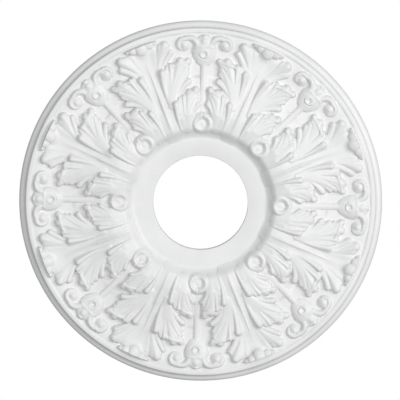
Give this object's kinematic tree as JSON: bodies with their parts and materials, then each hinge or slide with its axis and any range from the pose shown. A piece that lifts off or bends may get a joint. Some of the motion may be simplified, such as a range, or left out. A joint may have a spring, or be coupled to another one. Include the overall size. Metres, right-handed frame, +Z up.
{
  "type": "ceiling rose",
  "caption": "Round white ceiling rose with a lamp hole: acanthus leaves and bell flowers carved in relief between a sunk inner ring and a coved outer lip.",
  "frame": {"origin": "middle of the flat back, on the axis of the lamp hole, where the rose meets the ceiling", "axes": "+Z up into the ceiling, the carved face looks down to -Z, and a leaf lies along +X"},
  "size_m": [0.4064, 0.4064, 0.023],
  "materials": {
    "white_moulding": "satin white, factory primed"
  },
  "bodies": {
    "root": {"ceiling_rose": "white_moulding"}
  },
  "joints": []
}
